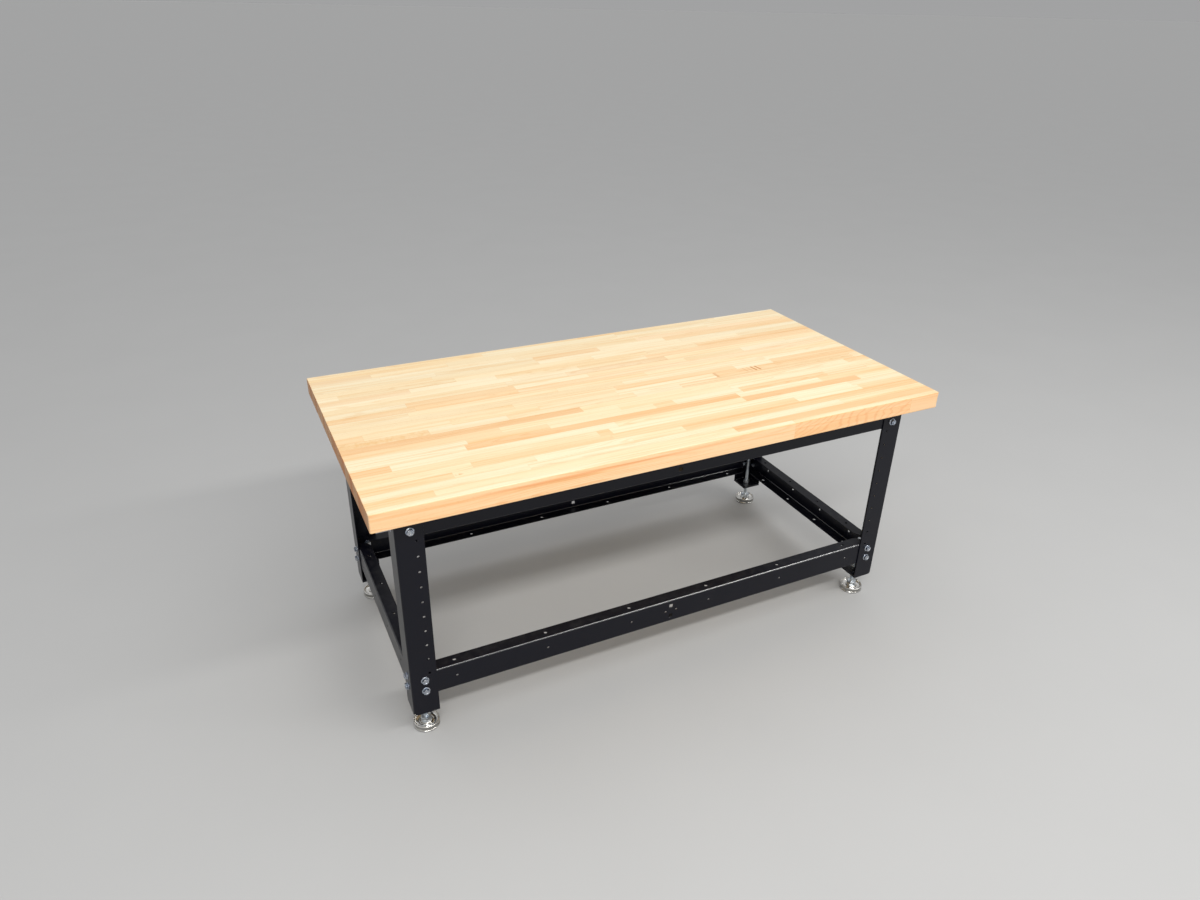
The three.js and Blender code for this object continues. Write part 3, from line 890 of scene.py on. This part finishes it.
# %% Give every board its own growth
TONES = {
    "cream": (253, 237, 202),
    "honey": (252, 231, 191),
    "peach": (251, 220, 175),
    "amber": (247, 207, 158),
    "rose": (252, 227, 188),
    "flamed": (252, 232, 194),
    "streaky": (252, 230, 190),
    "curly": (250, 221, 176),
    "mineral": (249, 218, 174),
}
LIFT = (0.97, 1.02)
PITH_ANGLE = (0.3, 2.8)
PITH_AWAY = (0.02, 0.09)
FACING_LEAST = 0.6


def linear(colour):
    """A colour as the eye names it (0 to 255) as light."""
    shares = [value / 255 for value in colour]
    return [share / 12.92 if share < 0.04045 else ((share + 0.055) / 1.055) ** 2.4 for share in shares]


boards = {}
for strip, row in layout.items():
    for index, (left, right, tone) in enumerate(row):
        lift = growth.uniform(*LIFT)
        colour = [min(1, share * lift) for share in linear(TONES[tone])]
        pith = growth.uniform(*PITH_ANGLE)
        away = growth.uniform(*PITH_AWAY)
        middle = (FIRST_SEAM + STRIP * (strip - 0.5)) * MM
        boards[strip, index] = {
            "board_colour": (*colour, 1),
            "board_seed": growth.random(),
            "board_left": left * MM,
            "board_right": right * MM,
            "board_curl": float(tone == "curly"),
            "board_flame": float(tone == "flamed"),
            "board_streak": float(tone == "streaky"),
            "board_mineral": float(tone == "mineral"),
            "pith_y": middle + away * math.cos(pith),
            "pith_z": TOP_MIDDLE * MM + away * math.sin(pith),
        }
OWN = [name for name in boards[0, 0] if name != "board_colour"]
FACING = {"end_grain": X, "edge_grain": Y}
top.data.attributes.new("board_colour", "FLOAT_COLOR", "FACE")
for name in (*OWN, *FACING):
    top.data.attributes.new(name, "FLOAT", "FACE")
colours = top.data.attributes["board_colour"].data
numbers = {name: top.data.attributes[name].data for name in (*OWN, *FACING)}
for face in top.data.polygons:
    strip = strip_of(face.center.y)
    index = sum(face.center.x > board[0] * MM for board in layout[strip]) - 1
    board = boards[strip, max(0, index)]
    colours[face.index].color = board["board_colour"]
    for name in OWN:
        numbers[name][face.index].value = board[name]
    for name, axis in FACING.items():
        numbers[name][face.index].value = float(abs(face.normal[axis]) > FACING_LEAST)
smooth(top)
stands_for(top, "table_top")
print("boards given growth:", len(boards))

# %% [markdown]
# Wiring finishes
#
# A finish is a tree of shader nodes. To keep it readable, a socket is wrapped so that sums on it
# read as plain arithmetic and add the Math nodes by themselves. Every other node comes from one
# method, which sets the node's options and then feeds its sockets with numbers or wires.

# %% The wiring classes
class Wire:
    """A socket that can be used in sums."""

    def __init__(self, finish, socket):
        self.finish = finish
        self.socket = socket

    def maths(self, operation, *values):
        return self.finish.node("Math", {"operation": operation}, dict(enumerate(values)))

    def __add__(self, other):
        return self.maths("ADD", self, other)

    __radd__ = __add__

    def __sub__(self, other):
        return self.maths("SUBTRACT", self, other)

    def __rsub__(self, other):
        return self.maths("SUBTRACT", other, self)

    def __mul__(self, other):
        return self.maths("MULTIPLY", self, other)

    __rmul__ = __mul__

    def sine(self):
        return self.maths("SINE", self)

    def size(self):
        return self.maths("ABSOLUTE", self)

    def root(self):
        return self.maths("SQRT", self)

    def fraction(self):
        return self.maths("FRACT", self)

    def lower(self, other):
        return self.maths("MINIMUM", self, other)


class Finish:
    """A material or a sky, and the one way that its nodes are added."""

    def __init__(self, owner, shader="Principled BSDF"):
        self.owner = owner
        self.owner.use_nodes = True
        self.tree = self.owner.node_tree
        self.shader = self.tree.nodes[shader]

    def node(self, kind, settings=None, sockets=None, output=0):
        made = self.tree.nodes.new("ShaderNode" + kind)
        for name, value in (settings or {}).items():
            setattr(made, name, value)
        for name, value in (sockets or {}).items():
            self.feed(made.inputs[name], value)
        return Wire(self, made.outputs[output])

    def feed(self, socket, value):
        if isinstance(value, Wire):
            self.tree.links.new(value.socket, socket)
        else:
            socket.default_value = value

    def surface(self, sockets):
        """Feeds the shader's own sockets."""
        for name, value in sockets.items():
            self.feed(self.shader.inputs[name], value)

    def places(self):
        """The three object coordinates, in metres."""
        place = self.node("TexCoord", output="Object")
        return [self.node("SeparateXYZ", {}, {0: place}, axis) for axis in (X, Y, Z)]

    def vector(self, x, y, z):
        return self.node("CombineXYZ", {}, {0: x, 1: y, 2: z})

    def cloud(self, place, scale, detail=2.0, distortion=0.0):
        """Noise from 0 to 1 at a place."""
        return self.node("TexNoise", {}, {"Vector": place, "Scale": scale, "Detail": detail,
                                          "Distortion": distortion})

    def rise(self, value, low, high):
        """0 below low, 1 above high, with a soft step between."""
        return self.node("MapRange", {"interpolation_type": "SMOOTHSTEP"}, {0: value, 1: low, 2: high})

    def blend(self, first, second, share, mode="MIX"):
        """Two colours mixed by a share."""
        return self.node("Mix", {"data_type": "RGBA", "blend_type": mode},
                         {0: share, 6: first, 7: second}, 2)

    def bumps(self, height, strength, distance):
        return self.node("Bump", {}, {"Height": height, "Strength": strength, "Distance": distance})

    def coat(self, pieces):
        """Puts the finish on pieces in place of what they have."""
        for piece in pieces:
            piece.data.materials.clear()
            piece.data.materials.append(self.owner)
        print(self.owner.name, "on", len(pieces), "pieces,", len(self.tree.nodes), "nodes")


# %% [markdown]
# Black powder coat
#
# The steel is sprayed with powder and baked to a satin black. Up close it has a fine orange peel,
# and dust settles on what faces up. A glassy coat is laid only over the folds and ramped up towards
# the right, a painted highlight that draws a bright line along every rail. Two clouds give the peel,
# a broad one varies the gloss, and the object's own normal tells flats from folds.

# %% Make the powder coat
paint = Finish(bpy.data.materials.new("black_powder_coat_finish"))
where = paint.node("TexCoord", output="Object")
facing = paint.node("TexCoord", output="Normal")
slope = paint.node("SeparateXYZ", {}, {0: facing}, Z)
upwards = paint.rise(slope, 0.7, 0.98)
# Painted highlight: a glassy coat only on the folds, ramped up towards +X, draws the bright line along
# the rails.
fold = paint.rise(slope, 0.10, 0.35) * (1 - paint.rise(slope, 0.90, 0.99))
highlight_ramp_rightwards = 0.35 + 0.65 * paint.rise(paint.places()[X], -0.6, 0.5)
peel = paint.cloud(where, scale=900.0, detail=1.5)
grit = paint.cloud(where, scale=3600.0, detail=1.0)
broad = paint.cloud(where, scale=9.0, detail=4.0)
dust = upwards * paint.rise(paint.cloud(where, scale=60.0, detail=5.0), 0.42, 0.75)
black = paint.blend((0.0020, 0.0022, 0.0060, 1), (0.0034, 0.0037, 0.0086, 1), broad)
paint.surface({
    "Base Color": paint.blend(black, (0.045, 0.045, 0.047, 1), dust * 0.30),
    "Roughness": 0.25 + 0.10 * broad + 0.10 * dust,
    "Specular IOR Level": 0.25,
    # Painted highlight: the coat sits on the folds only and is stronger to the right.
    "Coat Weight": fold * highlight_ramp_rightwards,
    "Coat IOR": 3.3,
    "Coat Roughness": 0.24,
    "Normal": paint.bumps(peel + 0.35 * grit, strength=0.14, distance=0.0002),
})
paint.coat(coated)

# %% [markdown]
# Zinc and nickel plate
#
# The bolts are zinc, a little blue, with the faint mottle of the plating bath. The feet's studs and
# jam nuts take a lighter copy of the same zinc, a painted highlight for the light they catch, so one
# recipe makes both. The pads are nickel: warmer, smoother, with rings left by the tool that pressed
# and polished them, and with upright sides painted dark and dull as a painted reflection. The rings
# need the distance from each pad's own axis, which the four feet share once the signs of X and Y are
# dropped.

# %% Make the zinc
def zinc_plate(name, deep, pale, dullness, pieces):
    """Zinc between two tones, with the mottle of the plating bath."""
    zinc = Finish(bpy.data.materials.new(name))
    where = zinc.node("TexCoord", output="Object")
    mottle = zinc.cloud(where, scale=420.0, detail=3.0)
    spangle = zinc.node("TexVoronoi", {"feature": "F1"}, {"Vector": where, "Scale": 700.0}, "Color")
    tint = zinc.cloud(where, scale=90.0, detail=2.0)
    cool = zinc.blend(deep, pale, zinc.rise(tint, 0.35, 0.65))
    zinc.surface({
        "Base Color": zinc.blend(cool, spangle, 0.05, "OVERLAY"),
        "Metallic": 1.0,
        "Roughness": dullness + 0.18 * mottle,
        "Normal": zinc.bumps(mottle, strength=0.08, distance=0.0001),
    })
    zinc.coat(pieces)


zinc_plate("zinc_plate_finish", (0.34, 0.39, 0.47, 1), (0.53, 0.55, 0.59, 1), 0.16, plated + screws)
# Painted highlight: the feet's studs and jam nuts take a lighter copy of the same zinc, for the light
# they catch.
zinc_plate("bright_zinc_finish", (0.62, 0.67, 0.73, 1), (0.81, 0.84, 0.86, 1), 0.22, studs)

# %% Make the nickel
nickel = Finish(bpy.data.materials.new("nickel_plate_finish"))
x, y, z = nickel.places()
foot_x, foot_y = mm(FOOT_X, FOOT_Y)
across = x.size() - foot_x
deep = y.size() - foot_y
radius = (across * across + deep * deep).root()
rings = nickel.cloud(nickel.vector(radius, 0.0, z * 0.3), scale=2600.0, detail=2.0)
haze = nickel.cloud(nickel.vector(x, y, z), scale=130.0, detail=4.0)
# Painted reflection: the upright walls of the rim and the lower tier are painted dark and dull.
rim_side = nickel.rise(z, *mm(6.0, 7.0)) - nickel.rise(z, *mm(13.6, 14.8))
tier_side = 1.0 - nickel.rise(z, *mm(2.2, 3.2))
painted_dark_walls = nickel.rise(radius, *mm(31.2, 31.8)) * (rim_side + tier_side)
plating = nickel.blend((0.80, 0.785, 0.75, 1), (0.66, 0.645, 0.615, 1), haze)
nickel.surface({
    "Base Color": nickel.blend(plating, (0.33, 0.325, 0.31, 1), 0.9 * painted_dark_walls),
    "Metallic": 1.0,
    "Roughness": 0.07 + 0.08 * haze + 0.06 * rings + 0.10 * painted_dark_walls,
    "Normal": nickel.bumps(rings, strength=0.06, distance=0.0001),
})
nickel.coat(bright)

# %% [markdown]
# Oiled maple
#
# Maple is pale and quiet: a soft streaky tone along the board, thin growth lines that drift across
# it, fibres as fine as hair, and small brown flecks. Every pattern is stretched along the board and
# shifted by the board's seed, so nothing runs on across a seam. A few boards are curly or carry a
# dark mineral streak. The ends are darker and show growth rings about the board's own pith.

# %% Wire the grain
SEED_SHIFTS = (91.0, 47.0, 23.0)
maple = Finish(bpy.data.materials.new("oiled_maple_finish"))
x, y, z = maple.places()


def own(name, output="Fac"):
    """One of the board's own values."""
    return maple.node("Attribute", {"attribute_name": name}, {}, output)


seed = own("board_seed")


def grain(length_scale, cross_scale, detail, distortion=0.0):
    """Noise stretched along the board and shifted by its seed."""
    scales = (length_scale, cross_scale, cross_scale)
    place = [axis * scale + seed * shift for axis, scale, shift in zip((x, y, z), scales, SEED_SHIFTS)]
    return maple.cloud(maple.vector(*place), 1.0, detail, distortion)


def stain(wood, colour, share):
    """A colour laid over the wood as a thin stain."""
    return maple.blend(wood, (*colour, 1), share, "MULTIPLY")



tone = grain(2.4, 34.0, 3.0, 0.4)
bands = grain(1.5, 150.0, 2.0, 0.2)
growth_field = grain(1.1, 17.0, 1.5, 0.25)
growth_lines = maple.rise((growth_field * 150.0).sine(), 0.30, 1.0)
line_share = maple.rise(grain(1.6, 20.0, 1.0), 0.38, 0.68)
fibre = grain(26.0, 1500.0, 2.0)
fleck = maple.rise(grain(150.0, 1100.0, 0.0), 0.70, 0.80)
print("grain wired:", len(maple.tree.nodes), "nodes")

# %% Colour the boards
pale = own("board_colour", "Color")
edge = own("edge_grain")
warm = stain(pale, (0.95, 0.82, 0.66), maple.rise(tone, 0.42, 0.74) * 0.6)
banded = stain(warm, (0.95, 0.82, 0.68), maple.rise(bands, 0.48, 0.70) * 0.75)
lined = stain(banded, (0.88, 0.68, 0.50), growth_lines * line_share * (0.34 + 0.14 * edge))
fibred = stain(lined, (0.90, 0.83, 0.74), maple.rise(fibre, 0.45, 0.75) * 0.30)
flecked = stain(fibred, (0.60, 0.43, 0.28), fleck * 0.26)
vein = maple.rise(grain(3.0, 150.0, 2.0, 0.6), 0.50, 0.66)
streaked = stain(flecked, (0.95, 0.75, 0.58), vein * own("board_streak") * 0.6)
ripple = maple.rise(grain(110.0, 70.0, 2.0), 0.40, 0.66)
curled = stain(streaked, (0.93, 0.78, 0.56), ripple * own("board_curl") * 0.40)
print("boards coloured:", len(maple.tree.nodes), "nodes")

# %% [markdown]
# The edge and the odd marks
#
# The long edges show the broad face of one stave, tinted pinker than the top: painted shade, as the
# top catches more light. The face has slanting flame lines at one place and a red streak at another.
# One board carries two dark mineral bars near its ends, and another a small pin knot. Each mark is a
# mask made from a distance, softened and broken up by noise.

# %% Add the marks
waver = 26.0 * grain(6.0, 22.0, 2.0)
flame = maple.rise((x * 210.0 - z * 260.0 + waver).sine(), 0.30, 1.0)
# Painted shade: the long edges are tinted pinker than the top, which is lit brighter and washes pale.
painted_edge_tint = stain(curled, (1.0, 0.78, 0.645), edge)
flamed = stain(painted_edge_tint, (0.92, 0.70, 0.58), flame * own("board_flame") * edge * 0.42)
drift = maple.cloud(maple.vector(x * 2.2, 0.0, 0.0), scale=1.0, detail=1.0)
streak_height = TOP_HEIGHT * MM - 0.017 + 0.012 * drift
streak_reach = maple.rise(x, -0.62, -0.40) * (1 - maple.rise(x, -0.20, 0.25))
red_streak = (1 - maple.rise((z - streak_height).size(), 0.0008, 0.0045)) * streak_reach * edge
marked = stain(flamed, (0.94, 0.72, 0.60), red_streak * 0.75)
left_gap = (x - own("board_left")).size()
right_gap = (x - own("board_right")).size()
strokes = maple.rise((right_gap * 449.0 - y * 76.0 + 1.2 * tone - 0.3).sine(), -0.15, 0.90)
fading = 1 - 0.7 * maple.rise(right_gap, 0.026, 0.034) - 0.3 * maple.rise(right_gap, 0.055, 0.065)
bars = strokes * fading + 0.4 * (1 - maple.rise(left_gap, 0.004, 0.012))
barred = stain(marked, (0.66, 0.40, 0.24), bars * own("board_mineral"))
KNOT_X, KNOT_Y = mm(-547, FIRST_SEAM + STRIP * 2.5)
knot_along = (x - KNOT_X) * 0.4
knot_across = y - KNOT_Y
knot_radius = (knot_along * knot_along + knot_across * knot_across).root()
knot = 1 - maple.rise(knot_radius, 0.0006, 0.0052)
knotted = stain(barred, (0.78, 0.58, 0.36), knot * maple.rise(ripple + fibre, 0.4, 1.0) * 0.8)
print("marks added:", len(maple.tree.nodes), "nodes")

# %% Draw seams and end grain, and set the oil's sheen
seam_place = ((y - FIRST_SEAM * MM) * (1 / (STRIP * MM)) + STRIPS).fraction()
seam_gap = seam_place.lower(1 - seam_place) * (STRIP * MM)
glue = 1 - maple.rise(seam_gap.lower(left_gap).lower(right_gap), 0.00012, 0.00055)
face_colour = stain(knotted, (0.80, 0.64, 0.48), glue * 0.40)
ring_y = y - own("pith_y")
ring_z = z - own("pith_z")
ring_radius = (ring_y * ring_y + ring_z * ring_z).root()
wobble = maple.cloud(maple.vector(0.0, y * 60.0 + seed * 31.0, z * 60.0), scale=1.0, detail=2.0)
ring_lines = maple.rise((ring_radius * 2300.0 + 5.0 * wobble).sine(), 0.1, 1.0)
pores = maple.cloud(maple.vector(seed, y * 2600.0, z * 2600.0), scale=1.0, detail=1.0)
end_base = stain(pale, (0.88, 0.47, 0.23), 0.40 + 0.42 * maple.rise(seed, 0.15, 0.85))
end_ringed = stain(end_base, (0.72, 0.50, 0.34), ring_lines * 0.5 + 0.25 * pores)
end_seamed = stain(end_ringed, (0.5, 0.38, 0.28), glue * 0.6)
maple.surface({
    "Base Color": maple.blend(face_colour, end_seamed, own("end_grain")),
    "Roughness": 0.44 + 0.10 * tone + 0.06 * fibre,
    "Specular IOR Level": 0.25,
    "Normal": maple.bumps(fibre + 0.4 * fleck, strength=0.10, distance=0.0001),
})
maple.coat([top])

# %% [markdown]
# Floor, light and camera
#
# The table stands on a plain pale floor under a soft sky that is brighter overhead than at the
# horizon. A long strip lamp hangs above and in front, like a row of ceiling lights, and a large dim
# panel fills from behind the camera. Together they reach a level where a colour renders about as it
# is written. The camera sees the sky in the far floor's own tone, so no horizon shows. It is where
# the photograph was taken from: at standing height, in front and to the left, with a wide lens.

# %% Lay the floor
FLOOR_SIZE, FLOOR_LEVEL = 800, -0.0002
floor = start("floor", bpy.ops.mesh.primitive_plane_add, size=FLOOR_SIZE, location=(0, 0, FLOOR_LEVEL))
ground = Finish(bpy.data.materials.new("pale_floor"))
where = ground.node("TexCoord", output="Object")
patches = ground.cloud(where, scale=3.0, detail=3.0)
ground.surface({
    "Base Color": ground.blend((0.51, 0.51, 0.505, 1), (0.49, 0.49, 0.485, 1), patches),
    "Roughness": 0.8,
})
ground.coat([floor])

# %% Hang the lamps
HORIZON_GLOW, OVERHEAD_GLOW, FAR_FLOOR = 0.26, 0.90, 0.365
LAMPLIGHT = (1.0, 0.99, 0.97)
sky = Finish(bpy.data.worlds.new("studio"), "Background")
height = sky.node("SeparateXYZ", {}, {0: sky.node("TexCoord", output="Object")}, Z)
seen = sky.node("LightPath", output="Is Camera Ray")
glow = HORIZON_GLOW + OVERHEAD_GLOW * (height * height)
sky.surface({"Color": (0.985, 0.99, 1.0, 1), "Strength": glow + seen * (FAR_FLOOR - glow)})
bpy.context.scene.world = sky.owner


def lamp(name, place, aim, size, power):
    """A soft oblong lamp that looks at a point."""
    light = bpy.data.lights.new(name, "AREA")
    light.shape = "RECTANGLE"
    light.size, light.size_y = size
    light.energy = power
    light.color = LAMPLIGHT
    holder = bpy.data.objects.new(name, light)
    holder.location = place
    holder.rotation_euler = (Vector(aim) - Vector(place)).to_track_quat("-Z", "Y").to_euler()
    bpy.context.scene.collection.objects.link(holder)
    print(name, "at", place)


lamp("strip_over", place=(0.8, -2.5, 3.2), aim=(0.8, 0, 0.3), size=(5.8, 0.3), power=94)
lamp("front_fill", place=(-1.6, -4.2, 2.0), aim=(0, 0, 0.5), size=(3.0, 2.0), power=44)

# %% Set up the camera
FOCAL_LENGTH, SENSOR_WIDTH = 25.4135, 36.0
EYE_PLACE = (-0.9807862, -1.8577542, 1.5847701)
EYE_DEGREES = (62.30176, -1.02904, -25.74381)
lens = bpy.data.cameras.new("photo_camera")
lens.sensor_fit = "HORIZONTAL"
lens.sensor_width = SENSOR_WIDTH
lens.lens = FOCAL_LENGTH
eye = bpy.data.objects.new("photo_camera", lens)
eye.location = EYE_PLACE
eye.rotation_euler = [math.radians(angle) for angle in EYE_DEGREES]
bpy.context.scene.collection.objects.link(eye)
bpy.context.scene.camera = eye
bpy.context.scene.view_settings.view_transform = "Standard"
print("camera set, lens", lens.lens)

# %% [markdown]
# Clearing up
#
# The dressed table must fill the same box as the imported one. At the end the selection is cleared.

# %% Clear the selection
select_only()
